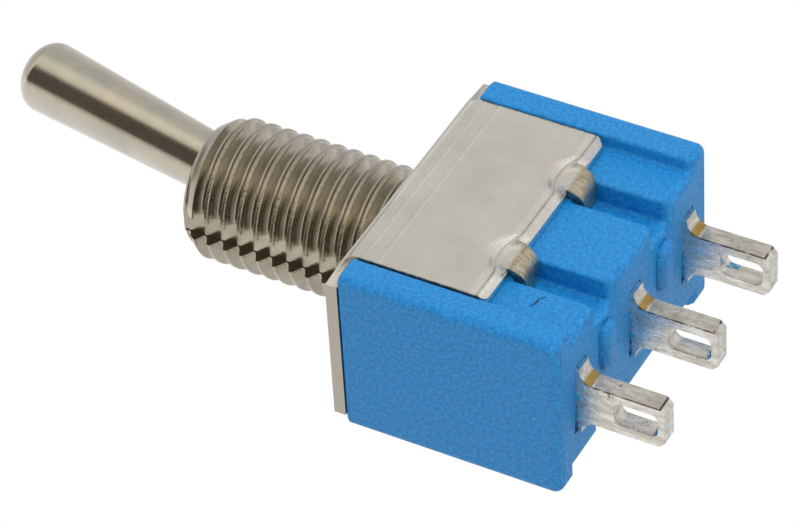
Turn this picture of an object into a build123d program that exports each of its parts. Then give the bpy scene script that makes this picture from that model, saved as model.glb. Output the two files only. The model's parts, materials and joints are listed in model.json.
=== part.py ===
from build123d import *
from math import cos, radians, sin, sqrt, tan
import os

# Miniature toggle switch, single pole, two positions. Millimetres and degrees.
# Origin on the bushing's axis at the panel face of the frame. +Z points to the lever,
# X runs along the row of terminals, and the two legs of the frame stand at -Y and +Y.

# lever
throw_angle = 12.2          # lean of the lever to each side
pivot_height = 5.2          # pivot above the panel face
lever_reach = 14.55         # pivot to the tip of the bat
bat_radius = 1.54           # widest, just below the tip's dome
bat_dome = 0.75
bat_round = 0.8             # between the bat's flank and the dome
waist_radius = 1.15         # just above the pivot ball
ball_radius = 2.1
tail_radius = 0.78
spring_bore_radius = 0.5
spring_bore_top = 3.2       # pivot to the blind end of the bore
pin_radius = 0.5
pin_length = 4.7
pin_chamfer = 0.08

# bushing
thread_radius = 3.0         # M6 x 0.75
bushing_length = 8.95
mouth_radius = 2.3
throat_radius = 1.68
mouth_chamfer = 0.5         # across, off the radius
mouth_chamfer_length = 0.75
keyway_width = 1.06
keyway_depth = 0.55
keyway_angle = 181.0        # the bushing is staked a little out of line
spigot_radius = 2.6
staking_radius = 3.1
staking_height = 0.5

# frame
body_length = 13.2
plate_end_width = 6.7
leg_span = 7.7              # over both legs
sheet = 0.5
bend_radius = 0.7
leg_depth = 6.15
tab_spacing = 5.0
tab_root_width = 1.5
tab_tip_width = 0.6
tab_reach = 1.4             # inwards from the outer face of its leg
tab_drop = 0.65             # its lower face below the end of the leg
tab_fold = 0.75             # outer radius of its fold
leg_corner = 0.12

# housing
housing_depth = 9.9         # panel face to terminal face
housing_width = 7.8
end_block_length = 1.35     # the full-width ends, outside the leg recesses
corner_round = 0.4
channel_width = 1.4
channel_depth = 1.0
end_wall = 1.0
side_wall = 0.6             # beside the cavity, and beside the pit between the channels
cavity_round = 0.5
pit_depth = 5.7             # panel face to the step of the cavity
floor_depth = 7.6           # panel face to the cavity's floor
face_round = 0.4
rib_width = 1.1
rib_length = 2.45
rib_centre = -0.78
rib_height = 0.3
rib_chamfer = 0.2

# terminals
pitch = 4.7
terminal_sheet = 0.8
shoulder_width = 3.3
shoulder_height = 0.2       # beyond the terminal face
lug_width = 2.0
lug_length = 3.75           # beyond the terminal face
lug_throat = 0.6            # hollow round between shoulder and lug
lug_corner = 0.25
slot_length = 1.85
slot_width = 1.1
slot_round = 0.3
slot_margin = 0.3           # slot to the tip of the lug
pad_reach = 2.1             # throw terminals, from the blade's far face inwards
pad_bend_radius = 0.65

# rocker
rock_angle = 8.0            # tilt of the rocker to each side
knife_height = 1.6          # knife edge above the cavity's floor
knife_angle = 30.0          # half angle of the knife edge
knife_flat = 0.06
groove_angle = 50.0         # half angle of the groove that rides on it
groove_depth = 0.15
rocker_strip = 0.4
rocker_overhang = 0.6       # arm beyond the middle of its contact
trough_half_length = 2.45
notch_depth = 0.35
notch_half_length = 0.52
ear_height = 0.9            # above the knife edge
ear_clearance = 0.1
contact_inset = 1.0         # rocker contact, inwards of the blade
tip_radius = 0.55
tip_height = 0.45
tip_dome = 1.2
contact_radius = 0.62
rivet_radius = 0.3

# plunger and spring
plunger_radius = 0.8
plunger_head = 1.6
plunger_stem_length = 2.5
plunger_travel = 0.7
spring_wire = 0.16
spring_turns = 5
wire_sides = 4              # the wire's section, kept coarse because it is out of sight

# clearances
running = 0.05              # plunger stem in its bore, plunger tip to rocker, pin in its slots
ball_clearance = 0.1        # ball in the bushing
fit = 0.02                  # pieces pressed or staked together
contact_gap = 0.01          # between closed contacts, and knife edge to groove
leg_clearance = 0.05        # leg to the land behind it
leg_side_clearance = 0.1
inner_clearance = 0.1       # terminals to the pit's walls, rocker to the terminals' edges
staking_clearance = 0.05
rim_chamfer = 0.12

# Places worked out from the sizes above.
lean = radians(throw_angle)
rock = radians(rock_angle)
knife_z = knife_height - floor_depth
strip_above_knife = rocker_strip - groove_depth
plunger_reach = pivot_height - knife_z - strip_above_knife - running
leg_inner = leg_span / 2 - sheet
bore_radius = ball_radius + ball_clearance
tail_reach = plunger_reach - plunger_head - plunger_travel - running
land = leg_inner - leg_clearance
tab_bottom = -leg_depth - tab_drop
ledge_z = tab_bottom + sheet
recess_width = body_length - 2 * end_block_length
leg_width = recess_width - 2 * leg_side_clearance
cavity_length = body_length - 2 * end_wall
cavity_width = 2 * (land - side_wall)
pit_width = cavity_width - 2 * channel_depth
staking_width = cavity_width - 2 * staking_clearance
inner_width = pit_width - 2 * inner_clearance
rocker_width = inner_width - 2 * inner_clearance
tip_arm = pitch - contact_inset
rocker_half_length = tip_arm + rocker_overhang

# The rocker's trough follows the path of the plunger's tip while both swing together.
rock_ratio = rock / lean
tip_swing = plunger_reach - plunger_radius
tip_rise = pivot_height - tip_swing - knife_z
path_speed = tip_swing - rock_ratio * tip_rise
path_curve = tip_swing * rock_ratio + tip_swing / 2 - tip_rise * rock_ratio ** 2 / 2
trough_radius = path_speed ** 2 / (2 * path_curve) + plunger_radius + running
trough_rise = trough_radius - sqrt(trough_radius ** 2 - trough_half_length ** 2)
arm_top = strip_above_knife + trough_rise
arm_bottom = arm_top - rocker_strip

# Where the low end of the rocker closes on its fixed contact.
dome_centre = arm_bottom - tip_height + tip_dome
contact_x = tip_arm * cos(rock) + dome_centre * sin(rock)
contact_z = knife_z + dome_centre * cos(rock) - tip_arm * sin(rock) - tip_dome - contact_gap
pad_z = terminal_sheet - floor_depth

lever_axis = Axis(origin=(0, 0, pivot_height), direction=(sin(lean), 0, cos(lean)))
lever_plane = Plane(
    origin=(0, 0, pivot_height), x_dir=(cos(lean), 0, -sin(lean)), z_dir=(0, -1, 0)
)
rocker_plane = Plane(origin=(0, 0, knife_z), x_dir=(cos(rock), 0, sin(rock)), z_dir=(0, -1, 0))
rocker_top_plane = Plane(
    origin=rocker_plane.origin, x_dir=rocker_plane.x_dir, z_dir=rocker_plane.y_dir
)


def finish(part, name):
    """Label a finished piece and write its file."""
    part.label = name
    export_step(part, f"parts/{name}.step")


# lever: bat, waist, pivot ball and tail in one turning, bored for the spring
with BuildPart() as lever:
    waist_z = sqrt(ball_radius ** 2 - waist_radius ** 2)
    tail_top = sqrt(ball_radius ** 2 - tail_radius ** 2)
    dome_z = lever_reach - bat_dome
    dome_radius = (bat_radius ** 2 + bat_dome ** 2) / (2 * bat_dome)
    with BuildSketch(lever_plane) as turning:
        with BuildLine():
            Polyline((0, -tail_reach), (tail_radius, -tail_reach), (tail_radius, -tail_top))
            ThreePointArc((tail_radius, -tail_top), (ball_radius, 0), (waist_radius, waist_z))
            Line((waist_radius, waist_z), (bat_radius, dome_z))
            RadiusArc((bat_radius, dome_z), (0, lever_reach), -dome_radius)
            Line((0, lever_reach), (0, -tail_reach))
        make_face()
        fillet(turning.vertices().sort_by(Axis.X)[-1], bat_round)
    revolve(axis=lever_axis)
    with BuildSketch(lever_plane):
        with Locations((0, -tail_reach)):
            Rectangle(
                spring_bore_radius, tail_reach - spring_bore_top, align=(Align.MIN, Align.MIN)
            )
    revolve(axis=lever_axis, mode=Mode.SUBTRACT)
    with BuildSketch(lever_plane):
        Circle(pin_radius)
    extrude(amount=ball_radius, both=True, mode=Mode.SUBTRACT)
finish(lever.part, "lever")

# pivot_pin: pressed through the ball, its ends turn in the bushing's slots
with BuildPart() as pivot_pin:
    with BuildSketch(lever_plane):
        Circle(pin_radius - contact_gap)
    extrude(amount=pin_length / 2, both=True)
    chamfer(pivot_pin.edges().filter_by(GeomType.CIRCLE), pin_chamfer)
finish(pivot_pin.part, "pivot_pin")

# bushing: plain where the thread runs, bored for the lever, its spigot staked under the frame
with BuildPart() as bushing:
    seat = (ball_radius + running) * sqrt(2)
    with BuildSketch(Plane.XZ):
        with BuildLine():
            Polyline(
                (bore_radius + rim_chamfer, -sheet - staking_height),
                (staking_radius, -sheet - staking_height),
                (staking_radius, -sheet),
                (spigot_radius, -sheet),
                (spigot_radius, 0),
                (thread_radius, 0),
                (thread_radius, bushing_length - mouth_chamfer_length),
                (thread_radius - mouth_chamfer, bushing_length),
                (mouth_radius, bushing_length),
                (throat_radius, pivot_height + seat - throat_radius),
                (bore_radius, pivot_height + seat - bore_radius),
                (bore_radius, rim_chamfer - sheet - staking_height),
                close=True,
            )
        make_face()
    revolve(axis=Axis.Z)
    # flats of the staked rim, clear of the housing's walls
    with BuildSketch(Plane.XY.offset(-sheet)):
        with GridLocations(0, staking_width + staking_radius, 1, 2):
            Rectangle(2 * staking_radius, staking_radius)
    extrude(amount=-staking_height, mode=Mode.SUBTRACT)
    # two slots, open below, take the ends of the pivot pin
    with BuildSketch(Plane.XZ):
        with Locations((0, pivot_height)):
            Circle(pin_radius + running)
        with Locations((0, (pivot_height - sheet - staking_height) / 2)):
            Rectangle(2 * (pin_radius + running), pivot_height + sheet + staking_height)
    extrude(amount=pin_length / 2 + running, both=True, mode=Mode.SUBTRACT)
    # keyway, from the mouth down to the frame
    with BuildSketch(Plane.XY):
        with PolarLocations(thread_radius, 1, start_angle=keyway_angle):
            Rectangle(2 * keyway_depth, keyway_width)
    extrude(amount=bushing_length, mode=Mode.SUBTRACT)
finish(bushing.part, "bushing")

# crimp tabs: tapered tongues folded inwards under the ledges of the housing
with BuildPart() as tabs:
    outer = leg_span / 2
    fold_z = tab_bottom + tab_fold
    with BuildSketch(Plane.YZ):
        with BuildLine():
            CenterArc((tab_fold - outer, fold_z), tab_fold, 180, 90)
            Polyline(
                (tab_fold - outer, tab_bottom), (tab_reach - outer, tab_bottom),
                (tab_reach - outer, ledge_z), (-leg_inner, ledge_z), (-leg_inner, fold_z),
                (-outer, fold_z),
            )
        make_face()
        mirror(about=Plane.YZ)
    extrude(amount=body_length / 2, both=True)
    with BuildSketch(Plane.XY.offset(tab_bottom)):
        with Locations((-tab_spacing / 2, 0), (tab_spacing / 2, 0)):
            Polygon(
                (-tab_root_width / 2, -outer), (tab_root_width / 2, -outer),
                (tab_tip_width / 2, tab_reach - outer), (-tab_tip_width / 2, tab_reach - outer),
                align=None,
            )
        mirror(about=Plane.XZ)
    extrude(amount=tab_fold, mode=Mode.INTERSECT)

# frame: a plate folded down into two legs that end in the tabs
with BuildPart() as frame:
    with BuildSketch(Plane.YZ):
        with BuildLine():
            FilletPolyline(
                (-outer, -leg_depth), (-outer, 0), (outer, 0), (outer, -leg_depth),
                radius=bend_radius,
            )
            Line((outer, -leg_depth), (leg_inner, -leg_depth))
            FilletPolyline(
                (leg_inner, -leg_depth), (leg_inner, -sheet), (-leg_inner, -sheet),
                (-leg_inner, -leg_depth), radius=bend_radius - sheet,
            )
            Line((-leg_inner, -leg_depth), (-outer, -leg_depth))
        make_face()
    extrude(amount=leg_width / 2, both=True)
    fillet(frame.edges().filter_by(Axis.Y).group_by(Axis.Z)[0], leg_corner)
    # the ends of the plate follow the slanted corners of the housing
    with BuildSketch(Plane.XY):
        half_length = body_length / 2
        half_end = plate_end_width / 2
        half_waist = outer - bend_radius / 2
        with BuildLine():
            Polyline(
                (half_length, half_end), (leg_width / 2, half_waist),
                (-leg_width / 2, half_waist), (-half_length, half_end),
                (-half_length, -half_end), (-leg_width / 2, -half_waist),
                (leg_width / 2, -half_waist), (half_length, -half_end), close=True,
            )
        make_face()
    extrude(amount=-sheet)
    with BuildSketch(Plane.XY):
        Circle(spigot_radius + fit)
    extrude(amount=-sheet, mode=Mode.SUBTRACT)
    # each leg is cut back where a tab folds away
    with Locations((0, 0, fold_z)):
        with GridLocations(tab_spacing, leg_span - sheet, 2, 2):
            Box(
                tab_root_width, sheet, fold_z + leg_depth,
                align=(Align.CENTER, Align.CENTER, Align.MAX), mode=Mode.SUBTRACT,
            )
    add(tabs.part)
finish(frame.part, "frame")

# housing: moulded cup with full-width ends, leg recesses, tab channels and ribs
with BuildPart() as housing:
    with BuildSketch(Plane.XY.offset(-sheet)):
        RectangleRounded(body_length, housing_width, corner_round)
    extrude(amount=sheet - housing_depth)
    # recesses for the legs, through to the terminal face
    recess_depth = housing_width / 2 - land
    with BuildSketch(Plane.XY.offset(-sheet)):
        with GridLocations(0, housing_width - recess_depth, 1, 2):
            Rectangle(recess_width, recess_depth)
    extrude(amount=sheet - housing_depth, mode=Mode.SUBTRACT)
    # channels behind the tabs, down to the terminal face
    with BuildSketch(Plane.XY.offset(ledge_z)):
        with GridLocations(tab_spacing, 2 * land - channel_depth, 2, 2):
            Rectangle(channel_width, channel_depth)
    extrude(amount=-housing_depth - ledge_z, mode=Mode.SUBTRACT)
    fillet(housing.faces().sort_by(Axis.Z)[0].outer_wire().edges(), face_round)
    chamfer(housing.faces().sort_by(Axis.Z)[-1].outer_wire().edges(), rim_chamfer)
    # cavity, with a narrower pit below for the terminals
    with BuildSketch(Plane.XY.offset(-sheet)):
        RectangleRounded(cavity_length, cavity_width, cavity_round)
    extrude(amount=sheet - pit_depth, mode=Mode.SUBTRACT)
    with BuildSketch(Plane.XY.offset(-pit_depth)):
        Rectangle(cavity_length, pit_width)
    extrude(amount=pit_depth - floor_depth, mode=Mode.SUBTRACT)
    # slots for the three blades
    with BuildSketch(Plane.XY.offset(-floor_depth)):
        with GridLocations(pitch, 0, 3, 1):
            Rectangle(terminal_sheet + 2 * fit, shoulder_width + 2 * fit)
    extrude(amount=floor_depth - housing_depth, mode=Mode.SUBTRACT)
    # ribs on the terminal face, between the lugs
    with BuildSketch(Plane.XY.offset(-housing_depth)):
        with Locations((-tab_spacing / 2, rib_centre), (tab_spacing / 2, rib_centre)):
            SlotOverall(rib_length, rib_width, rotation=90)
    extrude(amount=-rib_height)
    chamfer(housing.faces().group_by(Axis.Z)[0].edges(), rib_chamfer)
finish(housing.part, "housing")


def blade_profile(x):
    """Blade in the base, shoulder, hollow rounds, lug and slot, seen along X."""
    shoulder_z = -housing_depth - shoulder_height
    tip_z = -housing_depth - lug_length
    with BuildSketch(Plane.YZ.offset(x)) as profile:
        with Locations((0, -floor_depth)):
            Rectangle(
                shoulder_width, -floor_depth - shoulder_z, align=(Align.CENTER, Align.MAX)
            )
            Rectangle(lug_width, -floor_depth - tip_z, align=(Align.CENTER, Align.MAX))
        chamfer(profile.vertices().group_by(Axis.Y)[0], lug_corner)
        fillet(profile.vertices().group_by(Axis.Y)[2].sort_by(Axis.X)[1:-1], lug_throat)
        with Locations((0, tip_z + slot_margin + slot_length / 2)):
            RectangleRounded(slot_width, slot_length, slot_round, mode=Mode.SUBTRACT)
    return profile.sketch


# common_terminal: its top is the knife edge under the rocker, between two ears
with BuildPart() as common_terminal:
    extrude(blade_profile(0), amount=terminal_sheet / 2, both=True)
    knife_drop = (terminal_sheet - knife_flat) / 2 / tan(radians(knife_angle))
    ear_inside = rocker_width / 2 - notch_depth + ear_clearance
    with BuildSketch(Plane.XZ):
        with BuildLine():
            Polyline(
                (-terminal_sheet / 2, -floor_depth), (-terminal_sheet / 2, knife_z - knife_drop),
                (-knife_flat / 2, knife_z), (knife_flat / 2, knife_z),
                (terminal_sheet / 2, knife_z - knife_drop), (terminal_sheet / 2, -floor_depth),
                close=True,
            )
        make_face()
    extrude(amount=inner_width / 2, both=True)
    with BuildSketch(Plane.YZ):
        with Locations((0, -floor_depth)):
            Rectangle(
                inner_width, knife_height + ear_height, align=(Align.CENTER, Align.MIN)
            )
            Rectangle(
                2 * ear_inside, knife_height + ear_height, align=(Align.CENTER, Align.MIN),
                mode=Mode.SUBTRACT,
            )
    extrude(amount=terminal_sheet / 2, both=True)
finish(common_terminal.part, "common_terminal")


def throw_terminal(side):
    """One throw terminal: its blade is folded inwards over the floor into a pad."""
    with BuildPart() as terminal:
        extrude(blade_profile(side * pitch), amount=terminal_sheet / 2, both=True)
        back = side * (pitch + terminal_sheet / 2)
        with BuildSketch(Plane.XZ) as fold:
            with Locations((back - side * pad_reach / 2, pad_z - terminal_sheet / 2)):
                Rectangle(pad_reach, terminal_sheet)
            top_corners = fold.vertices().group_by(Axis.Y)[-1].sort_by(Axis.X)
            fillet(top_corners[-1 if side > 0 else 0], pad_bend_radius)
        extrude(amount=inner_width / 2, both=True)
        with Locations((side * contact_x, 0, pad_z)):
            Hole(rivet_radius, depth=terminal_sheet)
    return terminal.part


finish(throw_terminal(-1), "left_terminal")
finish(throw_terminal(1), "right_terminal")


def fixed_contact(side):
    """Silver rivet in the pad of a throw terminal."""
    with BuildPart() as contact:
        with Locations((side * contact_x, 0, pad_z)):
            Cylinder(
                contact_radius, contact_z - pad_z, align=(Align.CENTER, Align.CENTER, Align.MIN)
            )
            Cylinder(
                rivet_radius, terminal_sheet, align=(Align.CENTER, Align.CENTER, Align.MAX)
            )
    return contact.part


finish(fixed_contact(-1), "left_contact")
finish(fixed_contact(1), "right_contact")

# rocker: bent contact strip with a trough for the plunger and notches for the ears
with BuildPart() as rocker:
    arc_centre = strip_above_knife + trough_radius
    lower_radius = trough_radius + rocker_strip
    lower_half = sqrt(lower_radius ** 2 - (arc_centre - arm_bottom) ** 2)
    with BuildSketch(rocker_plane):
        with BuildLine():
            Polyline(
                (-trough_half_length, arm_top), (-rocker_half_length, arm_top),
                (-rocker_half_length, arm_bottom), (-lower_half, arm_bottom),
            )
            ThreePointArc(
                (-lower_half, arm_bottom), (0, -groove_depth), (lower_half, arm_bottom)
            )
            Polyline(
                (lower_half, arm_bottom), (rocker_half_length, arm_bottom),
                (rocker_half_length, arm_top), (trough_half_length, arm_top),
            )
            ThreePointArc(
                (trough_half_length, arm_top), (0, strip_above_knife),
                (-trough_half_length, arm_top),
            )
        make_face()
        groove_top = contact_gap + knife_flat / 2 * (1 / tan(radians(groove_angle)) + sin(rock))
        groove_half = (groove_depth + groove_top) * tan(radians(groove_angle))
        Polygon(
            (0, groove_top), (-groove_half, -groove_depth), (groove_half, -groove_depth),
            align=None, mode=Mode.SUBTRACT,
        )
    extrude(amount=rocker_width / 2, both=True)
    with BuildSketch(rocker_top_plane):
        with Locations((-tip_arm, 0), (tip_arm, 0)):
            Circle(rivet_radius)
        with GridLocations(0, rocker_width - notch_depth, 1, 2):
            Rectangle(2 * notch_half_length, notch_depth)
    extrude(amount=arm_top, both=True, mode=Mode.SUBTRACT)
finish(rocker.part, "rocker")


def rocker_tip(side):
    """Silver rivet with a domed head, its shank flush with the top of the rocker's arm."""
    seat_origin = rocker_plane.from_local_coords((side * tip_arm, arm_bottom, 0))
    seat_plane = Plane(
        origin=seat_origin, x_dir=rocker_plane.x_dir, z_dir=rocker_plane.z_dir
    )
    dome_side = tip_dome - sqrt(tip_dome ** 2 - tip_radius ** 2) - tip_height
    dome_middle = tip_dome - tip_height - sqrt(tip_dome ** 2 - tip_radius ** 2 / 4)
    with BuildPart() as tip:
        with BuildSketch(seat_plane):
            with BuildLine():
                ThreePointArc(
                    (0, -tip_height), (tip_radius / 2, dome_middle), (tip_radius, dome_side)
                )
                Polyline(
                    (tip_radius, dome_side), (tip_radius, 0), (rivet_radius, 0),
                    (rivet_radius, rocker_strip), (0, rocker_strip), (0, -tip_height),
                )
            make_face()
        revolve(axis=Axis(origin=seat_plane.origin, direction=seat_plane.y_dir))
    return tip.part


finish(rocker_tip(-1), "left_rocker_tip")
finish(rocker_tip(1), "right_rocker_tip")

# plunger: round-nosed head below the lever's tail, stem up its bore
with BuildPart() as plunger:
    stem_radius = spring_bore_radius - running
    head_top = plunger_head - plunger_reach
    stem_top = head_top + plunger_stem_length
    nose_z = plunger_radius - plunger_reach
    with BuildSketch(lever_plane):
        with BuildLine():
            CenterArc((0, nose_z), plunger_radius, -90, 90)
            Polyline(
                (plunger_radius, nose_z), (plunger_radius, head_top), (stem_radius, head_top),
                (stem_radius, stem_top), (0, stem_top), (0, -plunger_reach),
            )
        make_face()
    revolve(axis=lever_axis)
finish(plunger.part, "plunger")

# plunger_spring: coil between the plunger's stem and the blind end of the bore
with BuildPart() as plunger_spring:
    coil_radius = spring_bore_radius - running - spring_wire / 2
    coil_start = stem_top + spring_wire / 2 + fit
    coil_height = -spring_bore_top - spring_wire / 2 - fit - coil_start
    with BuildLine() as coil:
        Helix(
            coil_height / spring_turns, coil_height, coil_radius,
            center=lever_plane.from_local_coords((0, coil_start, 0)),
            direction=lever_axis.direction,
        )
    with BuildSketch(Plane(origin=coil.line @ 0, z_dir=coil.line % 0)):
        RegularPolygon(spring_wire / 2, wire_sides)
    sweep(is_frenet=True)
finish(plunger_spring.part, "plunger_spring")
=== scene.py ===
import json
import math
import bpy
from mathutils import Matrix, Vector


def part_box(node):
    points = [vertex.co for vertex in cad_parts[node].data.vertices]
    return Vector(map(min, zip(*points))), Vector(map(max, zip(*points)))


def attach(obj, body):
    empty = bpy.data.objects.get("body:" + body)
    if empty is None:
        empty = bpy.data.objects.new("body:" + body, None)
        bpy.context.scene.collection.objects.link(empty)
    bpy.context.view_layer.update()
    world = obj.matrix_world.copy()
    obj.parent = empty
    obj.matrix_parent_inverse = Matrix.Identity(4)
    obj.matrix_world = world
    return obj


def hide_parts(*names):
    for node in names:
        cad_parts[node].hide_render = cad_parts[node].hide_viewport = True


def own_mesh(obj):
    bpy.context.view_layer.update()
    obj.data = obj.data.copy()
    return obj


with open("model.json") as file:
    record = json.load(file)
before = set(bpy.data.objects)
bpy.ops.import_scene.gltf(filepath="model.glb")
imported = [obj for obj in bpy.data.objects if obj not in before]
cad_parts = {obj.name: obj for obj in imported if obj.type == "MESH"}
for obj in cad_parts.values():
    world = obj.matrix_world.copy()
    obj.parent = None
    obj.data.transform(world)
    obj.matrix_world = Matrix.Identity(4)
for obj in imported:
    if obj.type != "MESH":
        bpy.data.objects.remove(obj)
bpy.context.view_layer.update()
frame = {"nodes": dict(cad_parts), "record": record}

mm = 0.001
weldCopy = 0.0005 * mm      # points of a copied solid that lie this close are one
weldCut = 0.0003 * mm       # and points left by a cut
sliver = 0.00001 * mm       # how exactly a bisect meets the points beside it
scene = bpy.context.scene
nodes = frame["nodes"]


# small tools, used all through

def deselectAll():
    if bpy.context.object and bpy.context.object.mode != "OBJECT":
        bpy.ops.object.mode_set(mode="OBJECT")
    bpy.ops.object.select_all(action="DESELECT")


def pick(piece):
    deselectAll()
    piece.select_set(True)
    bpy.context.view_layer.objects.active = piece


def applyPlace(piece):
    pick(piece)
    bpy.ops.object.transform_apply(location=True, rotation=True, scale=True)


def modify(piece, kind, **settings):
    pick(piece)
    modifier = piece.modifiers.new(kind.title(), kind)
    for name, value in settings.items():
        setattr(modifier, name, value)
    bpy.ops.object.modifier_apply(modifier=modifier.name)


def editAll(piece):
    pick(piece)
    bpy.ops.object.mode_set(mode="EDIT")
    bpy.ops.mesh.select_all(action="SELECT")


def mergeAndTurnOut(piece, distance=0.002 * mm):
    editAll(piece)
    bpy.ops.mesh.remove_doubles(threshold=distance)
    bpy.ops.mesh.normals_make_consistent(inside=False)
    bpy.ops.object.mode_set(mode="OBJECT")


def smoothShade(piece, angle):
    pick(piece)
    bpy.ops.object.shade_smooth_by_angle(angle=math.radians(angle))


def drawLine(name, points):
    # a line of edges in the XZ plane, pulled out point by point; points are (radius, height) in mm
    deselectAll()
    bpy.ops.mesh.primitive_plane_add(size=mm, location=(0, 0, 0))
    piece = bpy.context.object
    piece.name = piece.data.name = name
    editAll(piece)
    bpy.ops.mesh.merge(type="CENTER")
    bpy.ops.transform.translate(value=(points[0][0] * mm, 0, points[0][1] * mm))
    for (fromX, fromZ), (toX, toZ) in zip(points, points[1:]):
        step = ((toX - fromX) * mm, 0, (toZ - fromZ) * mm)
        bpy.ops.mesh.extrude_region_move(TRANSFORM_OT_translate={"value": step})
    bpy.ops.object.mode_set(mode="OBJECT")
    return piece


def turned(name, points, steps=96):
    # a turned solid round Z from a line that starts and ends on the axis, or closes on itself
    piece = drawLine(name, points)
    modify(
        piece, "SCREW", axis="Z", angle=math.tau, screw_offset=0, steps=steps, render_steps=steps,
        use_merge_vertices=True, merge_threshold=0.001 * mm,
    )
    mergeAndTurnOut(piece)
    return piece


def arc(centreX, centreZ, radius, fromAngle, toAngle, count):
    angles = [math.radians(fromAngle + (toAngle - fromAngle) * i / count) for i in range(count + 1)]
    return [(centreX + radius * math.cos(a), centreZ + radius * math.sin(a)) for a in angles]


def block(name, oneCorner, otherCorner):
    # a box between two corners, in mm, given in either order
    deselectAll()
    middle = [(a + b) / 2 * mm for a, b in zip(oneCorner, otherCorner)]
    bpy.ops.mesh.primitive_cube_add(size=1, location=middle)
    piece = bpy.context.object
    piece.name = piece.data.name = name
    piece.scale = [abs(b - a) * mm for a, b in zip(oneCorner, otherCorner)]
    applyPlace(piece)
    return piece


def combine(piece, tool, operation):
    modify(piece, "BOOLEAN", operation=operation, object=tool, solver="EXACT")
    bpy.data.objects.remove(tool)


def copyOf(nodeName, name):
    # a merged copy of a solid
    piece = nodes[nodeName].copy()
    piece.data = nodes[nodeName].data.copy()
    piece.parent = None
    for key in list(piece.keys()):
        del piece[key]
    scene.collection.objects.link(piece)
    piece.name = piece.data.name = name
    piece.data.materials.clear()
    mergeAndTurnOut(piece, weldCopy)
    return piece


def softenEdges(piece, s):
    # facets of the flat faces are dissolved and wide faces cut at some x, so that none keeps a hole;
    # then each sharp edge gets its small round, apart from those below the height keepBelow
    editAll(piece)
    bpy.ops.mesh.dissolve_limited(angle_limit=math.radians(2.5), use_dissolve_boundaries=False)
    for x in s.get("cuts", ()):
        bpy.ops.mesh.select_all(action="SELECT")
        bpy.ops.mesh.bisect(plane_co=(x * mm, 0, 0), plane_no=(1, 0, 0), threshold=sliver)
    bpy.ops.mesh.select_mode(type="EDGE")
    bpy.ops.mesh.select_all(action="DESELECT")
    bpy.ops.mesh.edges_select_sharp(sharpness=math.radians(s["sharp"]))
    bpy.ops.object.mode_set(mode="OBJECT")
    if "keepBelow" in s:
        corners = piece.data.vertices
        for edge in piece.data.edges:
            start, end = [corners[i].co for i in edge.vertices]
            if edge.select and (start.z + end.z) / 2 < s["keepBelow"] * mm:
                edge.select = False
    bpy.ops.object.mode_set(mode="EDIT")
    bpy.ops.transform.edge_bevelweight(value=1)
    bpy.ops.mesh.select_mode(type="VERT")
    bpy.ops.object.mode_set(mode="OBJECT")
    modify(
        piece, "BEVEL", width=s["round"] * mm, segments=s["segments"], limit_method="WEIGHT",
        use_clamp_overlap=s["clamp"], miter_outer="MITER_ARC",
    )
    smoothShade(piece, s["smooth"])
    modify(piece, "WEIGHTED_NORMAL", weight=100, keep_sharp=True)


# camera

cameraSettings = {
    "place": (-0.117207, -0.121623, -0.068847),
    "turn": (142.8915, 61.6890, 5.6609),    # degrees
    "lens": 207.22, "sensor": 36, "nearest": 0.005, "farthest": 20,
}
deselectAll()
bpy.ops.object.camera_add(
    location=cameraSettings["place"], rotation=[math.radians(a) for a in cameraSettings["turn"]]
)
camera = bpy.context.object
camera.name = "Camera"
camera.data.lens = cameraSettings["lens"]
camera.data.sensor_width = cameraSettings["sensor"]
camera.data.clip_start = cameraSettings["nearest"]
camera.data.clip_end = cameraSettings["farthest"]
scene.camera = camera
scene.view_settings.view_transform = "Standard"
print("camera set")


# colour and material tools

def colour(hexText):
    parts = [int(hexText[i:i + 2], 16) / 255 for i in (1, 3, 5)]
    return tuple(c / 12.92 if c <= 0.04045 else ((c + 0.055) / 1.055) ** 2.4 for c in parts) + (1,)


def perMm(size):
    return 1000 / size      # texture scale for a feature of that many millimetres


def addNode(tree, kind, inputs=None, **settings):
    node = tree.nodes.new("ShaderNode" + kind)
    for name, value in settings.items():
        setattr(node, name, value)
    for name, value in (inputs or {}).items():
        if isinstance(value, bpy.types.NodeSocket):
            tree.links.new(value, node.inputs[name])
        else:
            node.inputs[name].default_value = value
    return node


def newMaterial(name, **sockets):
    # the place is that of each point in its piece
    material = bpy.data.materials.new(name)
    material.use_nodes = True
    tree = material.node_tree
    shader = tree.nodes["Principled BSDF"]
    for socket, value in sockets.items():
        shader.inputs[socket.replace("_", " ")].default_value = value
    return material, tree, shader.inputs, addNode(tree, "TexCoord").outputs["Object"]


# in the finishes' settings, a texture is (size in mm, detail, roughness), a spread is (from low, from high,
# to low, to high), and a window is (low, high, soft) in mm

def noise(tree, place, size, detail, roughness, distortion=0):
    return addNode(
        tree, "TexNoise",
        {"Vector": place, "Scale": perMm(size), "Detail": detail, "Roughness": roughness,
         "Distortion": distortion},
    ).outputs["Fac"]


def stretched(tree, place, scale):
    return addNode(tree, "Mapping", {"Vector": place, "Scale": scale}).outputs["Vector"]


def turnedAboutY(tree, place, degrees):
    turn = {"Vector": place, "Rotation": (0, math.radians(degrees), 0)}
    return addNode(tree, "Mapping", turn).outputs["Vector"]


def split(tree, place):
    return addNode(tree, "SeparateXYZ", {"Vector": place}).outputs


def spread(tree, value, fromLow, fromHigh, toLow=0, toHigh=1):
    # the first range of values laid over the second
    return addNode(
        tree, "MapRange",
        {"Value": value, "From Min": fromLow, "From Max": fromHigh, "To Min": toLow, "To Max": toHigh},
    ).outputs["Result"]


def easedStep(tree, value, start, end):
    # 0 at start rising smoothly to 1 at end (mm)
    return addNode(
        tree, "MapRange", {"Value": value, "From Min": start * mm, "From Max": end * mm},
        interpolation_type="SMOOTHSTEP",
    ).outputs["Result"]


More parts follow.
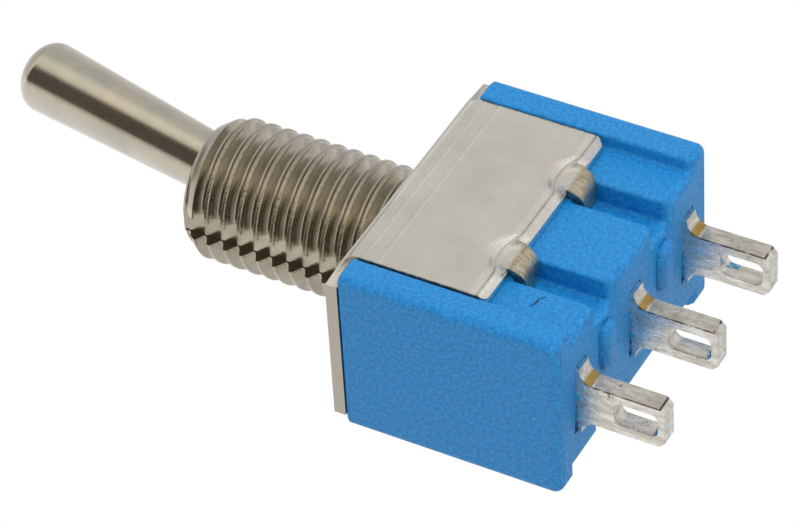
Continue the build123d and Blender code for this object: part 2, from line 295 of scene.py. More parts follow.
def window(tree, value, low, high, soft):
    # 1 between low and high (mm), easing to 0 over soft on both sides
    rise = spread(tree, value, (low - soft) * mm, low * mm)
    fall = spread(tree, value, high * mm, (high + soft) * mm, 1, 0)
    return times(tree, rise, fall)


def reckon(tree, operation, *values):
    return addNode(tree, "Math", dict(enumerate(values)), operation=operation).outputs["Value"]


def times(tree, first, *others):
    for other in others:
        first = reckon(tree, "MULTIPLY", first, other)
    return first


def plus(tree, first, *others):
    for other in others:
        first = reckon(tree, "ADD", first, other)
    return first


def minus(tree, first, second):
    return reckon(tree, "SUBTRACT", first, second)


def larger(tree, first, second):
    return reckon(tree, "MAXIMUM", first, second)


def unsigned(tree, value):
    return reckon(tree, "ABSOLUTE", value)


def mixColour(tree, share, first, second):
    return addNode(
        tree, "Mix", {"Factor": share, "A": first, "B": second}, data_type="RGBA"
    ).outputs[2]


def twoTone(tree, value, s, low=0.35, high=0.65):
    # the finish's colour, clouded with its shade
    return mixColour(tree, spread(tree, value, low, high), colour(s["colour"]), colour(s["shade"]))


def bump(tree, height, depth, under=None):
    inputs = {"Height": height, "Distance": depth * mm, "Strength": 1}
    if under is not None:
        inputs["Normal"] = under
    return addNode(tree, "Bump", inputs).outputs["Normal"]


def linkUp(tree, sockets, baseColour, roughness, normal):
    tree.links.new(baseColour, sockets["Base Color"])
    tree.links.new(roughness, sockets["Roughness"])
    tree.links.new(normal, sockets["Normal"])


# finishes

def metalFinish(name, s):
    # plated or bare metal: slow clouds in colour and gloss, and a fine grain that breaks the highlight
    material, tree, sockets, place = newMaterial(name, Metallic=1.0)
    clouds = noise(tree, place, *s["clouds"])
    grain = noise(tree, place, *s["grain"])
    mixed = plus(tree, times(tree, clouds, 0.5), times(tree, grain, 0.5))
    gloss = spread(tree, mixed, *s["gloss"])
    relief = bump(tree, grain, s["grainDepth"])
    if "twist" in s:
        # the crests are beaten a little rough; rolled flanks lean a little round the axis, and the walls
        # of the keyway, cut later, don't
        axes = split(tree, place)
        flat = addNode(tree, "CombineXYZ", {"X": axes["X"], "Y": axes["Y"]}).outputs["Vector"]
        radius = addNode(tree, "VectorMath", {0: flat}, operation="LENGTH").outputs["Value"]
        crest = spread(tree, radius, s["crestFrom"] * mm, s["crestTo"] * mm)
        nicks = noise(tree, place, *s["nicks"])
        relief = bump(tree, times(tree, nicks, crest), s["nickDepth"], relief)
        twist = math.radians(s["twist"])
        lean = spread(tree, axes["Y"], s["twistFrom"] * mm, s["twistTo"] * mm, 0, twist)
        relief = addNode(
            tree, "VectorRotate", {"Vector": relief, "Angle": lean}, rotation_type="Z_AXIS"
        ).outputs["Vector"]
    linkUp(tree, sockets, twoTone(tree, clouds, s), gloss, relief)
    return material


polishedNickel = {
    # nickel plate over a polished turning: close to a mirror, a little warm, with faint turning rings
    "colour": "#d9d2c6", "shade": "#c8c7bb", "clouds": (1.6, 4, 0.6), "specks": (0.09, 4, 0.7),
    "gloss": (0.3, 0.7, 0.11, 0.19), "ringPitch": 0.05, "ringDepth": 0.0001, "ringWaver": 1.5,
    "lean": 12.2,       # of the lever at rest, in degrees
}


def makePolishedNickel(s):
    material, tree, sockets, place = newMaterial("nickelPolished", Metallic=1.0)
    clouds = noise(tree, place, *s["clouds"])
    gloss = spread(tree, noise(tree, place, *s["specks"]), *s["gloss"])
    rings = addNode(
        tree, "TexWave",
        {"Vector": turnedAboutY(tree, place, -s["lean"]), "Scale": perMm(s["ringPitch"]) / math.tau,
         "Distortion": s["ringWaver"], "Detail": 2, "Detail Scale": 2},
        wave_type="BANDS", bands_direction="Z",
    ).outputs["Fac"]
    linkUp(tree, sockets, twoTone(tree, clouds, s), gloss, bump(tree, rings, s["ringDepth"]))
    return material


nickelSheet = {
    # nickel over pressed sheet steel: pale satin, tool lines along the bend, the legs' lower margin
    # pressed in and drawn up round the tabs, tabs scored where they were folded, side edges torn
    "colour": "#efede8", "shade": "#e4e1da", "clouds": (1.8, 4, 0.6), "grain": (0.13, 5, 0.7),
    "grainDepth": 0.009, "gloss": (0.7, 1.3, 0.22, 0.34), "rawRoughness": 0.45,
    "drawn": (0.9, 2, 0.4), "drawnAlong": (0.25, 1.0, 1.0), "drawnDepth": 0.03,
    "toolLines": (-0.84, -1.5), "toolLineWidth": 0.16, "toolLineHeight": 0.03,
    # the legs' sheared side edges, and the plate's ends painted darker as painted shade, by distance from the
    # middle
    "torn": "#8f8778", "tornShare": (0.42, 0.6, 0.2, 1), "sideEdge": (5.12, 5.4, 0.02),
    "sideHeight": (-7, -0.7, 0.1), "paintedEndShade": "#bfbab0", "paintedEndShadeFrom": (6.55, 6.59),
    # the tabs, below the legs' ends
    "legEnd": -6.15, "tabTop": (0.02, -0.06), "tabAt": 2.5, "tabSide": (-0.95, -0.8),
    "tabReach": (1.25, 0.25), "scored": "#d9cfba", "scoreDark": "#b8aa8c", "scoreTone": (0.42, 0.58),
    "score": (0.11, 5, 0.7), "scoreAlong": (1.0, 0.35, 0.35), "scoreDepth": 0.022, "tabRaw": 0.5,
    # the legs' faces, and their margin by heights over its middle: step in, groove, lip out; a dark line
    # painted along the groove is a painted dark reflection
    "face": (-6.1, -4, 0.02), "faceSide": (5.2, 5.1), "margin": 0.47, "marginRise": 0.30,
    "step": (0.3, -0.06), "pressed": 0.12, "lip": (-0.04, -0.2), "lipHeight": 0.06,
    "groove": "#8d867a", "grooveFrom": (-0.1, -0.08), "grooveSoft": 0.04, "paintedDarkShare": (0.35, 0.65, 0.1, 0.6),
    "dent": 0.30, "dentReach": (1.35, 0.35),
}


def makeNickelSheet(s):
    material, tree, sockets, place = newMaterial("nickelSheet", Metallic=1.0)
    axes = split(tree, place)
    sideX = unsigned(tree, axes["X"])
    overEnd = minus(tree, axes["Z"], s["legEnd"] * mm)
    clouds = noise(tree, place, *s["clouds"])
    grain = noise(tree, place, *s["grain"])
    score = noise(tree, stretched(tree, place, s["scoreAlong"]), *s["score"])

    # where the tabs, the torn side edges and the legs' faces are
    below = easedStep(tree, axes["Z"], *[s["legEnd"] + over for over in s["tabTop"]])
    tab = times(tree, below, easedStep(tree, sideX, *[s["tabAt"] + aside for aside in s["tabSide"]]))
    sideHeight = window(tree, axes["Z"], *s["sideHeight"])
    edge = times(tree, window(tree, sideX, *s["sideEdge"]), sideHeight)
    onLeg = times(tree, window(tree, axes["Z"], *s["face"]), easedStep(tree, sideX, *s["faceSide"]))

    # the margin's line stands higher over each tab; at it the sheet steps in, then lips out again
    fromTab = unsigned(tree, minus(tree, sideX, s["tabAt"] * mm))
    lift = times(tree, easedStep(tree, fromTab, *s["tabReach"]), s["marginRise"] * mm)
    above = minus(tree, overEnd, lift)
    step = easedStep(tree, above, *[s["margin"] + over for over in s["step"]])
    lip = easedStep(tree, above, *[s["margin"] + over for over in s["lip"]])
    # where the painted dark reflection runs, just under the margin's line
    grooveFrom, grooveTo = [s["margin"] + over for over in s["grooveFrom"]]
    groove = window(tree, above, grooveFrom, grooveTo, s["grooveSoft"])

    # the fold of each tab pulled a shallow dent into the sheet above it
    squares = [reckon(tree, "POWER", side, 2) for side in (fromTab, overEnd)]
    reach = reckon(tree, "SQRT", plus(tree, *squares))
    dent = times(tree, easedStep(tree, reach, *s["dentReach"]), onLeg)

    # painted shade: the plate's ends are painted darker than the rest of the sheet
    paintedEndShade = easedStep(tree, sideX, *s["paintedEndShadeFrom"])
    plainAndEndShade = mixColour(tree, paintedEndShade, twoTone(tree, clouds, s), colour(s["paintedEndShade"]))
    scoreTone = spread(tree, score, *s["scoreTone"])
    scoring = mixColour(tree, scoreTone, colour(s["scored"]), colour(s["scoreDark"]))
    # painted dark reflection: a clouded dark line along the groove, on the legs' faces only
    paintedDarkShare = times(tree, groove, onLeg, spread(tree, clouds, *s["paintedDarkShare"]))
    withPaintedDark = mixColour(tree, paintedDarkShare, mixColour(tree, tab, plainAndEndShade, scoring), colour(s["groove"]))
    torn = times(tree, edge, spread(tree, score, *s["tornShare"]))

    gloss = spread(tree, plus(tree, clouds, grain), *s["gloss"])
    raw = larger(tree, edge, times(tree, tab, s["tabRaw"]))
    roughness = addNode(
        tree, "Mix", {"Factor": raw, "A": gloss, "B": s["rawRoughness"]}, data_type="FLOAT"
    ).outputs[0]

    drawn = noise(tree, stretched(tree, place, s["drawnAlong"]), *s["drawn"])
    height = plus(tree, times(tree, grain, s["grainDepth"]), times(tree, drawn, s["drawnDepth"]))
    half = s["toolLineWidth"] / 2
    for level in s["toolLines"]:
        ridge = window(tree, axes["Z"], level - half / 4, level + half / 4, half)
        height = plus(tree, height, times(tree, ridge, s["toolLineHeight"]))
    height = minus(tree, height, times(tree, step, s["pressed"]))
    height = plus(tree, height, times(tree, lip, s["lipHeight"]))
    height = minus(tree, height, times(tree, dent, s["dent"]))
    height = plus(tree, height, times(tree, larger(tree, edge, tab), score, s["scoreDepth"]))
    base = mixColour(tree, torn, withPaintedDark, colour(s["torn"]))
    linkUp(tree, sockets, base, roughness, bump(tree, height, 1))
    return material


bluePlastic = {
    # glass-filled moulded plastic: saturated blue, matte from the mould, finely mottled, with a few
    # pale fibre ends showing and one short scratch on the low ledge beside the leg
    "colour": "#1f98dd", "shade": "#0a76c0", "tone": (0.38, 0.62), "mottle": (0.15, 6, 0.7),
    "deep": "#0a5ca4", "pits": (0.60, 0.72, 0, 0.8), "grain": (0.08, 5, 0.7), "grainDepth": 0.020,
    "pale": "#63b4e2", "fibreCell": 1.35, "fibres": (0.045, 0.03, 0, 0.8),
    "swell": (1.4, 2, 0.4), "swellDepth": 0.03, "gloss": (0.3, 0.7, 0.38, 0.55),
    # the scratch: its place and turn, and where it fades out across, along and into the plastic
    "scratch": "#0a3a66", "scratchAt": (-3.9, -3.32, -7.74), "scratchTurn": 64, "across": (0.015, 0.045),
    "along": (0.36, 0.41), "into": (0.2, 0.3), "scratchDepth": 0.04, "waver": (0.3, 4, 0.7), "waverBy": 0.28,
}


def makeBluePlastic(s):
    material, tree, sockets, place = newMaterial("bluePlastic", IOR=1.5)
    mottle = noise(tree, place, *s["mottle"])
    grain = noise(tree, place, *s["grain"])
    cells = {"Vector": place, "Scale": perMm(s["fibreCell"]), "Randomness": 1.0}
    fibreEnds = addNode(tree, "TexVoronoi", cells).outputs["Distance"]
    base = twoTone(tree, mottle, s, *s["tone"])
    pitted = mixColour(tree, spread(tree, grain, *s["pits"]), base, colour(s["deep"]))
    specked = mixColour(tree, spread(tree, fibreEnds, *s["fibres"]), pitted, colour(s["pale"]))

    # a short wavering line, measured in its own turned frame
    toScratch = {0: place, 1: [-c * mm for c in s["scratchAt"]]}
    fromScratch = addNode(tree, "VectorMath", toScratch, operation="ADD").outputs["Vector"]
    parts = split(tree, turnedAboutY(tree, fromScratch, s["scratchTurn"]))
    waver = spread(tree, noise(tree, place, *s["waver"]), 0, 1, -s["waverBy"] * mm, s["waverBy"] * mm)
    offLine = plus(tree, parts["X"], waver)
    within = []
    for distance, fade in ((offLine, "across"), (parts["Z"], "along"), (parts["Y"], "into")):
        start, end = s[fade]
        within.append(spread(tree, unsigned(tree, distance), start * mm, end * mm, 1, 0))
    scratch = times(tree, *within)

    relief = minus(tree, times(tree, grain, s["grainDepth"]), times(tree, scratch, s["scratchDepth"]))
    swell = noise(tree, place, *s["swell"])
    linkUp(
        tree, sockets, mixColour(tree, scratch, specked, colour(s["scratch"])),
        spread(tree, mottle, *s["gloss"]), bump(tree, swell, s["swellDepth"], bump(tree, relief, 1)),
    )
    return material


whiteNylon = {
    # natural nylon, a little waxy
    "colour": "#e9e6dc", "shade": "#dcd8ca", "mottle": (0.5, 4, 0.6), "mottleDepth": 0.004,
    "gloss": (0.3, 0.7, 0.35, 0.5),
}


def makeWhiteNylon(s):
    material, tree, sockets, place = newMaterial("whiteNylon", IOR=1.53)
    mottle = noise(tree, place, *s["mottle"])
    gloss = spread(tree, mottle, *s["gloss"])
    linkUp(tree, sockets, twoTone(tree, mottle, s), gloss, bump(tree, mottle, s["mottleDepth"]))
    return material


tinnedLug = {
    # hot tin over brass strip: bright, drawn out in soft streaks along the lug, brass bare in the
    # hollow under the shoulder, a little blue moulding flash left at the root
    "colour": "#f8f6f2", "shade": "#d4d0c8", "tone": (0.38, 0.62), "gloss": (0.7, 1.3, 0.14, 0.32),
    "clouds": (0.7, 4, 0.6, 0.4), "streak": (0.26, 5, 0.6), "streakAlong": (1.0, 1.0, 0.3),
    "streakDepth": 0.017, "grain": (0.10, 4, 0.6), "grainDepth": 0.014,
    "brass": "#b4975a", "bare": (0.3, 0.45, 0.3, 1), "hollow": (-10.56, -10.3, 0.08),
    "hollowSide": (-0.86, -1.06), "stain": "#5a5348", "stains": (0.36, 5, 0.75),
    "stainShare": (0.58, 0.68, 0, 0.7),
    # a dark film in a thin line along the edge of the long face
    "film": "#5c4a46", "filmAt": (-0.975, -0.935, 0.03), "filmShare": (0.36, 0.5, 0.15, 1),
    "filmFrom": (-10.55, -10.7),
    # flash: a ragged skin at the root, and a smear at the end of one slot
    "flash": "#2f9fd0", "ragged": (0.35, 3, 0.6), "raggedShare": (0.5, 0.56), "root": (-10.32, -10.0),
    "rootSide": (-0.7, -0.3), "smearAt": (4.95, 0.42, -11.86), "smearReach": (0.27, 0.21),
    "waver": (0.3, 4, 0.7), "waverBy": 0.2,
}


def makeTinnedLug(s):
    material, tree, sockets, place = newMaterial("tinOverBrass", Metallic=1.0)
    axes = split(tree, place)
    clouds = noise(tree, place, *s["clouds"])
    streak = noise(tree, stretched(tree, place, s["streakAlong"]), *s["streak"])
    grain = noise(tree, place, *s["grain"])

    inHollow = window(tree, axes["Z"], *s["hollow"])
    hollow = times(tree, inHollow, easedStep(tree, axes["Y"], *s["hollowSide"]))
    bare = times(tree, hollow, spread(tree, clouds, *s["bare"]))
    brassy = mixColour(tree, bare, twoTone(tree, streak, s, *s["tone"]), colour(s["brass"]))
    stain = spread(tree, noise(tree, place, *s["stains"]), *s["stainShare"])
    stained = mixColour(tree, stain, brassy, colour(s["stain"]))
    onLine = times(tree, window(tree, axes["Y"], *s["filmAt"]), spread(tree, clouds, *s["filmShare"]))
    film = times(tree, onLine, easedStep(tree, axes["Z"], *s["filmFrom"]))
    soiled = mixColour(tree, film, stained, colour(s["film"]))

    ragged = spread(tree, noise(tree, place, *s["ragged"]), *s["raggedShare"])
    nearRoot = easedStep(tree, axes["Z"], *s["root"])
    skin = times(tree, ragged, nearRoot, easedStep(tree, axes["Y"], *s["rootSide"]))
    toSmear = {0: place, 1: [c * mm for c in s["smearAt"]]}
    fromSmear = addNode(tree, "VectorMath", toSmear, operation="DISTANCE").outputs["Value"]
    waverBy = s["waverBy"] * mm
    waver = spread(tree, noise(tree, place, *s["waver"]), 0.3, 0.7, -waverBy, waverBy)
    reach = [distance * mm for distance in s["smearReach"]]
    flash = larger(tree, skin, spread(tree, plus(tree, fromSmear, waver), *reach))

    tree.links.new(spread(tree, flash, 0, 1, 1, 0), sockets["Metallic"])
    gloss = spread(tree, plus(tree, streak, clouds), *s["gloss"])
    relief = bump(tree, grain, s["grainDepth"], bump(tree, streak, s["streakDepth"]))
    linkUp(tree, sockets, mixColour(tree, flash, soiled, colour(s["flash"])), gloss, relief)
    return material


finishes = {
    "polished_nickel": makePolishedNickel(polishedNickel),
    "satin_steel": makeNickelSheet(nickelSheet),
    "blue_plastic": makeBluePlastic(bluePlastic),
    "white_nylon": makeWhiteNylon(whiteNylon),
    "tinned_terminal": makeTinnedLug(tinnedLug),
    # nickel over turned brass: rolled thread, softer gloss than the lever, olive-grey cast
    "plated_brass": metalFinish("nickelThread", {
        "colour": "#c6beae", "shade": "#b3ab9b", "clouds": (0.9, 4, 0.6), "grain": (0.10, 5, 0.6),
        "grainDepth": 0.003, "gloss": (0.35, 0.65, 0.12, 0.26), "nicks": (0.14, 3, 0.6), "nickDepth": 0.035,
        "crestFrom": 2.86, "crestTo": 2.95, "twist": 18, "twistFrom": -0.6, "twistTo": -1.0,
    }),
    # ground steel
    "inner_steel": metalFinish("steelBare", {
        "colour": "#a8a6a2", "shade": "#93908b", "clouds": (1.0, 4, 0.6), "grain": (0.08, 5, 0.6),
        "grainDepth": 0.003, "gloss": (0.35, 0.65, 0.25, 0.4),
    }),
    # drawn spring wire
    "spring_steel": metalFinish("springWire", {
        "colour": "#9a9a98", "shade": "#85837f", "clouds": (0.6, 4, 0.6), "grain": (0.05, 5, 0.6),
        "grainDepth": 0.002, "gloss": (0.35, 0.65, 0.22, 0.38),
    }),
    # brass strip, its silver plate worn thin
    "rocker_brass": metalFinish("brassStrip", {
        "colour": "#d1ab62", "shade": "#bd9650", "clouds": (1.2, 4, 0.6), "grain": (0.1, 5, 0.6),
        "grainDepth": 0.003, "gloss": (0.35, 0.65, 0.2, 0.38),
    }),
    # satin silver rivets
    "contact_silver": metalFinish("silverContact", {
        "colour": "#dcdad4", "shade": "#c9c6bd", "clouds": (0.4, 4, 0.6), "grain": (0.05, 5, 0.6),
        "grainDepth": 0.002, "gloss": (0.35, 0.65, 0.15, 0.32),
    }),
}

slotOf = {row["node"]: row["material_slot"] for row in frame["record"]["subparts"]}


def dress(piece, slotName, body):
    piece.data.materials.clear()
    piece.data.materials.append(finishes[slotName])
    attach(piece, body)


for nodeName, slotName in slotOf.items():
    nodes[nodeName].data.materials.clear()
    nodes[nodeName].data.materials.append(finishes[slotName])
print("finishes on", len(slotOf), "solids")


# threaded bushing: one tooth drawn, repeated up the line, and swept round once per pitch

threadSettings = {
    "pitch": 0.75, "crest": 3.0, "crestHalf": 0.05, "crestRound": 0.03, "crestEase": 0.004,
    "crestDrop": 0.035, "root": 2.545, "rootHalf": 0.04, "rootRound": 0.05, "rootRise": 0.03,
    "crestAtZero": 4.993,       # height of a crest at +X
    "turns": 16, "steps": 108, "toolSteps": 144,
    "length": 8.95, "trim": 0.002, "chamferAcross": 0.5, "chamferLength": 0.75,
    "bore": 2.2, "throat": 1.68, "mouth": 2.3, "flare": 0.1, "pivot": 5.2, "seat": 2.15, "rim": 0.12,
    "spigot": 2.6, "spigotTop": 0.1, "staked": 3.1, "stakedHalf": 2.65, "stakedHeight": 0.5,
    "stakedEdge": 0.08, "sheet": 0.5,
    "keyWidth": 1.06, "keyDepth": 0.55, "keyAngle": 181, "keyFrom": -0.001,
    "slotHalf": 0.55, "slotReach": 2.4,
    "past": 1,                  # how far a cutting tool goes past what it cuts
    "smooth": 32,               # edges sharper than this many degrees stay sharp
}


def makeBushing(s):
    pitch, crest, root, length, past = [s[name] for name in ("pitch", "crest", "root", "length", "past")]
    start = s["crestAtZero"] - math.ceil(s["crestAtZero"] / pitch + 2) * pitch
    edge, shoulder, toe = crest - s["crestEase"], crest - s["crestDrop"], root + s["rootRise"]
    crestOuter = s["crestHalf"] + s["crestRound"]
    rootOuter = s["rootHalf"] + s["rootRound"]
    tooth = [
        (shoulder, -crestOuter), (edge, -s["crestHalf"]), (edge, s["crestHalf"]), (shoulder, crestOuter),
        (toe, pitch / 2 - rootOuter), (root, pitch / 2 - s["rootHalf"]),
        (root, pitch / 2 + s["rootHalf"]), (toe, pitch / 2 + rootOuter), (shoulder, pitch - crestOuter),
    ]
    rod = drawLine("bushing_threaded", [(r, start + z) for r, z in tooth])
    modify(
        rod, "ARRAY", count=s["turns"], use_relative_offset=False, use_constant_offset=True,
        constant_offset_displace=(0, 0, pitch * mm), use_merge_vertices=True, merge_threshold=0.001 * mm,
    )
    modify(
        rod, "SCREW", axis="Z", angle=math.tau, screw_offset=pitch * mm, steps=s["steps"],
        render_steps=s["steps"], use_merge_vertices=False,
    )
    mergeAndTurnOut(rod)
    for height, above in ((0, False), (length - s["trim"], True)):
        editAll(rod)
        bpy.ops.mesh.bisect(
            plane_co=(0, 0, height * mm), plane_no=(0, 0, 1), use_fill=True,
            clear_inner=not above, clear_outer=above, threshold=sliver,
        )
        bpy.ops.object.mode_set(mode="OBJECT")
    mergeAndTurnOut(rod, weldCut)

    envelope = turned("envelope", [
        (0, -s["sheet"]), (crest, -s["sheet"]), (crest, length - s["chamferLength"]),
        (crest - s["chamferAcross"], length), (0, length),
    ], s["toolSteps"])
    combine(rod, envelope, "INTERSECT")

    # the spigot goes through the plate and is staked out under it, with two flats
    low = -s["sheet"] - s["stakedHeight"]
    spigot = turned("spigot", [
        (0, low), (s["staked"] - s["stakedEdge"], low), (s["staked"], low + s["stakedEdge"]),
        (s["staked"], -s["sheet"]), (s["spigot"], -s["sheet"]), (s["spigot"], s["spigotTop"]),
        (0, s["spigotTop"]),
    ])
    for side in (-1, 1):
        flat = block(
            "flat", (-s["staked"] - past, side * s["stakedHalf"], low - past),
            (s["staked"] + past, side * (s["staked"] + past), -s["sheet"]),
        )
        combine(spigot, flat, "DIFFERENCE")
    combine(rod, spigot, "UNION")

    # bore with a cone that seats the ball, opening again to the mouth
    seat = s["pivot"] + s["seat"] * math.sqrt(2)
    boreTool = turned("boreTool", [
        (0, low - past), (s["bore"] + s["rim"] + past, low - past), (s["bore"] + s["rim"], low),
        (s["bore"], low + s["rim"]), (s["bore"], seat - s["bore"]), (s["throat"], seat - s["throat"]),
        (s["mouth"], length), (s["mouth"] + s["flare"], length + past), (0, length + past),
    ], s["toolSteps"])
    combine(rod, boreTool, "DIFFERENCE")
    key = block(
        "keyTool", (crest - s["keyDepth"], -s["keyWidth"] / 2, s["keyFrom"]),
        (crest + past, s["keyWidth"] / 2, length + past),
    )
    key.rotation_euler = (0, 0, math.radians(s["keyAngle"]))
    applyPlace(key)
    combine(rod, key, "DIFFERENCE")
    half, reach = s["slotHalf"], s["slotReach"]
    slotTool = block("slotTool", (-half, -reach, low - past), (half, reach, s["pivot"]))
    combine(rod, slotTool, "DIFFERENCE")
    mergeAndTurnOut(rod, weldCut)
    smoothShade(rod, s["smooth"])
    return rod


bushing = makeBushing(threadSettings)
dress(bushing, "plated_brass", "base")
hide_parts("bushing")
print("bushing", len(bushing.data.polygons), "faces")


# lever: a turning stood up on Z, then leaned over about its pivot

leverSettings = {
    "lean": 12.2, "pivot": 5.2, "reach": 14.546, "bat": 1.54, "dome": 0.75, "round": 0.8,
    "waist": 1.15, "ball": 2.1, "tail": 0.78, "bore": 0.5, "boreTop": 3.2,
    "steps": 128, "ballPoints": 24, "roundPoints": 10, "domePoints": 12, "smooth": 40,
}


def makeLever(s):
    low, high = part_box("lever")
    lean = math.radians(s["lean"])
    # the tail's end is a flat disc square to the lever, so its lowest point gives its reach
    tailReach = ((s["pivot"] - low.z / mm) - s["tail"] * math.sin(lean)) / math.cos(lean)
    waist = Vector((s["waist"], math.sqrt(s["ball"] ** 2 - s["waist"] ** 2)))
    tail = Vector((s["tail"], -math.sqrt(s["ball"] ** 2 - s["tail"] ** 2)))
    edge = Vector((s["bat"], s["reach"] - s["dome"]))
    domeRadius = (s["bat"] ** 2 + s["dome"] ** 2) / (2 * s["dome"])
    domeCentre = Vector((0, s["reach"] - domeRadius))
    # the round between flank and dome touches both
    flank = (edge - waist).normalized()
    inward = Vector((-flank.y, flank.x))
    start = waist + inward * s["round"] - domeCentre
    along = -start.dot(flank)
    reach = (domeRadius - s["round"]) ** 2 - start.length_squared + along ** 2
    centre = domeCentre + start + flank * (along + math.sqrt(reach))
    fromFlank = math.degrees(math.atan2(-inward.y, -inward.x))
    toDome = math.degrees(math.atan2(centre.y - domeCentre.y, centre.x))
    fromTail = math.degrees(math.atan2(tail.y, tail.x))
    toWaist = math.degrees(math.atan2(waist.y, waist.x))
    outline = [(0, -s["boreTop"]), (s["bore"], -s["boreTop"]), (s["bore"], -tailReach)]
    outline += [(s["tail"], -tailReach)] + arc(0, 0, s["ball"], fromTail, toWaist, s["ballPoints"])
    outline += arc(centre.x, centre.y, s["round"], fromFlank, toDome, s["roundPoints"])
    outline += arc(0, domeCentre.y, domeRadius, toDome, 90, s["domePoints"])[1:-1] + [(0, s["reach"])]
    lever = turned("lever_turned", outline, s["steps"])
    lever.rotation_euler = (0, lean, 0)
    lever.location = (0, 0, s["pivot"] * mm)
    applyPlace(lever)
    smoothShade(lever, s["smooth"])
    return lever


lever = makeLever(leverSettings)
dress(lever, "polished_nickel", "lever")
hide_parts("lever")
print("lever", len(lever.data.polygons), "faces")


# frame: a copy of the solid, its legs drawn in at the lower edge and rounded at the corners

frameSettings = {
    "round": 0.07, "segments": 2, "sharp": 30, "clamp": True, "smooth": 35,
    "drawn": 0.32, "tilt": 33, "outer": 3.85, "end": -6.15,
    "runs": ((-5.3, -3.32), (-1.68, 1.68), (3.32, 5.3)),    # along X, clear of the tabs
    "half": 5.15, "corner": 0.38, "past": 0.2, "reach": 1, "through": 5, "steps": 40,
}


def drawLegEnds(piece, s):
    # the punch drew the outer lower edge of each leg in at a slant
    for side in (-1, 1):
        for start, stop in s["runs"]:
            tool = block("slant", (start, 0, -s["reach"]), (stop, side * s["reach"], s["reach"]))
            tool.rotation_euler = (-side * math.radians(s["tilt"]), 0, 0)
            tool.location = (0, side * s["outer"] * mm, (s["end"] + s["drawn"]) * mm)
            applyPlace(tool)
            combine(piece, tool, "DIFFERENCE")
        for end in (-1, 1):
            centreX, centreZ = end * (s["half"] - s["corner"]), s["end"] + s["corner"]
            tool = block(
                "corner", (centreX, 0, s["end"] - s["past"]),
                (end * (s["half"] + s["past"]), side * s["through"], centreZ),
            )
            bpy.ops.mesh.primitive_cylinder_add(
                vertices=s["steps"], radius=s["corner"] * mm, depth=2 * (s["through"] + 1) * mm,
                rotation=(math.pi / 2, 0, 0), location=(centreX * mm, 0, centreZ * mm),
            )
            cylinder = bpy.context.object
            applyPlace(cylinder)
            combine(tool, cylinder, "DIFFERENCE")
            combine(piece, tool, "DIFFERENCE")
    mergeAndTurnOut(piece, weldCut)


pressed = copyOf("frame", "frame_pressed")
drawLegEnds(pressed, frameSettings)
softenEdges(pressed, frameSettings)
dress(pressed, "satin_steel", "base")
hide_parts("frame")
print("frame", len(pressed.data.polygons), "faces")


# housing: a copy with the mould's small rounds, which stop at the terminal face; clamped, they would
# all shrink to suit the narrowest slot

housingSettings = {
    "round": 0.14, "segments": 3, "sharp": 60, "clamp": False, "smooth": 35,
    "cuts": (-4.7, -2.5, 0, 2.5, 4.7), "keepBelow": -9.89,
}
housing = copyOf("housing", "housing_moulded")
softenEdges(housing, housingSettings)
dress(housing, "blue_plastic", "base")
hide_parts("housing")
print("housing", len(housing.data.polygons), "faces")


# terminals: copies with the soft edges that the tin leaves

terminalSettings = {"round": 0.05, "segments": 2, "sharp": 30, "clamp": True, "smooth": 35}
for nodeName in ("left_terminal", "common_terminal", "right_terminal"):
    terminal = copyOf(nodeName, nodeName + "_tinned")
    softenEdges(terminal, terminalSettings)
    dress(terminal, "tinned_terminal", "base")
    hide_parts(nodeName)
print("terminals done")


# plunger spring: a round wire swept up the bore of the lever

springSettings = {
    "wire": 0.08, "coil": 0.37, "turns": 5, "from": -6.695, "to": -3.305, "blindEnd": -3.2, "travel": 0.7,
    "wireSides": 12, "steps": 40, "smooth": 50,
}


def makeSpring(s):
    deselectAll()
    bpy.ops.mesh.primitive_circle_add(
        vertices=s["wireSides"], radius=s["wire"] * mm, rotation=(math.pi / 2, 0, 0)
    )
    spring = bpy.context.object
    spring.name = spring.data.name = "spring_coiled"
    spring.location = (s["coil"] * mm, 0, s["from"] * mm)
    applyPlace(spring)
    rise = (s["to"] - s["from"]) / s["turns"] * mm
    modify(
        spring, "SCREW", axis="Z", angle=math.tau, screw_offset=rise, iterations=s["turns"],
        steps=s["steps"], render_steps=s["steps"], use_merge_vertices=False,
    )
    pick(spring)
    bpy.ops.object.mode_set(mode="EDIT")
    bpy.ops.mesh.select_all(action="DESELECT")
    bpy.ops.mesh.select_non_manifold()
    bpy.ops.mesh.edge_face_add()
    bpy.ops.object.mode_set(mode="OBJECT")
    mergeAndTurnOut(spring, weldCopy)
    spring.rotation_euler = (0, math.radians(leverSettings["lean"]), 0)
    spring.location = (0, 0, leverSettings["pivot"] * mm)
    applyPlace(spring)
    smoothShade(spring, s["smooth"])
    return spring


spring = makeSpring(springSettings)
dress(spring, "spring_steel", "lever")
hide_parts("plunger_spring")
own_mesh(spring)
print("spring", len(spring.data.polygons), "faces")


# surroundings: pale floor far below, an even room, one broad soft lamp from the leg's side

roomSettings = {
    "floorHeight": -0.22, "floorSize": 4.0, "floorColour": "#f1f0ee", "floorShade": "#ecebe9",
    "floorClouds": (40, 2, 0.5), "floorTone": (0.3, 0.7), "floorRoughness": 0.9,
    "lampPlace": (0.02, -0.36, -0.26), "lampAim": (0, 0, -0.001), "lampSize": 0.36, "lampPower": 2.5,
    "roomLevel": 0.76,
    # what metal mirrors, by the angle in degrees from the viewer's side (0) over the top (90) to behind (180)
    "up": (0.60723, -0.74121, 0.28613), "viewer": (-0.63917, -0.66964, -0.37822),
    "mirrored": (
        (-180, "#fdfdfd"), (-150, "#f2f1ef"), (-110, "#e8e6e2"), (-70, "#e1ddd6"), (-34, "#b0a89c"),
        (-22, "#59524a"), (48, "#544d45"), (58, "#e8e0d0"), (72, "#f6eee0"), (88, "#cdcbc4"),
        (110, "#c6c5c2"), (140, "#d4d3d1"), (165, "#e6e6e4"), (180, "#fdfdfd"),
    ),
}


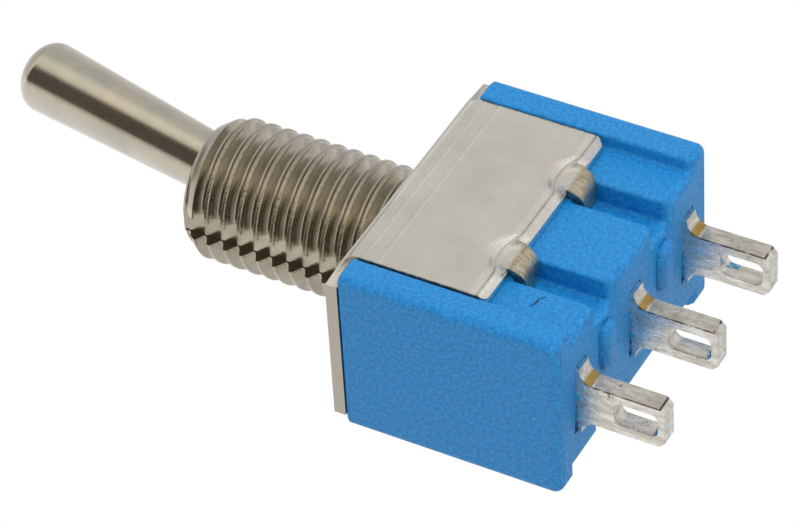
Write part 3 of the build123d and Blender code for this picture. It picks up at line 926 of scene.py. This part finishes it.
def makeFloor(s):
    deselectAll()
    bpy.ops.mesh.primitive_plane_add(size=s["floorSize"], location=(0, 0, s["floorHeight"]))
    floor = bpy.context.object
    floor.name = "floor"
    applyPlace(floor)
    material, tree, sockets, place = newMaterial("paleFloor", Roughness=s["floorRoughness"])
    share = spread(tree, noise(tree, place, *s["floorClouds"]), *s["floorTone"])
    clouded = mixColour(tree, share, colour(s["floorColour"]), colour(s["floorShade"]))
    tree.links.new(clouded, sockets["Base Color"])
    floor.data.materials.append(material)


def makeRoom(s):
    # white behind, a soft light above, the dark of the room in front, pale table below
    world = bpy.data.worlds.new("room")
    scene.world = world
    world.use_nodes = True
    tree = world.node_tree
    background = tree.nodes["Background"]
    direction = addNode(tree, "TexCoord").outputs["Generated"]
    up, viewer = [
        addNode(tree, "VectorMath", {0: direction, 1: s[name]}, operation="DOT_PRODUCT").outputs["Value"]
        for name in ("up", "viewer")
    ]
    share = spread(tree, reckon(tree, "ARCTAN2", up, viewer), -math.pi, math.pi)
    ramp = addNode(tree, "ValToRGB", {"Fac": share})
    marks = ramp.color_ramp.elements    # a new ramp has the two at its ends
    marks[0].color = colour(s["mirrored"][0][1])
    marks[1].color = colour(s["mirrored"][-1][1])
    for angle, hexText in s["mirrored"][1:-1]:
        marks.new((angle + 180) / 360).color = colour(hexText)
    rays = addNode(tree, "LightPath").outputs
    level = s["roomLevel"]
    mirrored = mixColour(tree, rays["Is Glossy Ray"], (level, level, level, 1), ramp.outputs["Color"])
    seen = larger(tree, rays["Is Camera Ray"], rays["Is Transmission Ray"])
    tree.links.new(mixColour(tree, seen, mirrored, (1, 1, 1, 1)), background.inputs["Color"])
    background.inputs["Strength"].default_value = 1


def makeLamp(s):
    deselectAll()
    bpy.ops.object.light_add(type="AREA", location=s["lampPlace"])
    lamp = bpy.context.object
    lamp.name = "softLamp"
    lamp.data.shape = "SQUARE"
    lamp.data.size = s["lampSize"]
    lamp.data.energy = s["lampPower"]
    lamp.visible_glossy = False     # metal mirrors the room, which has its own bright side
    lamp.rotation_euler = (Vector(s["lampAim"]) - lamp.location).to_track_quat("-Z", "Y").to_euler()


makeFloor(roomSettings)
makeRoom(roomSettings)
makeLamp(roomSettings)
print("room and lamp set")
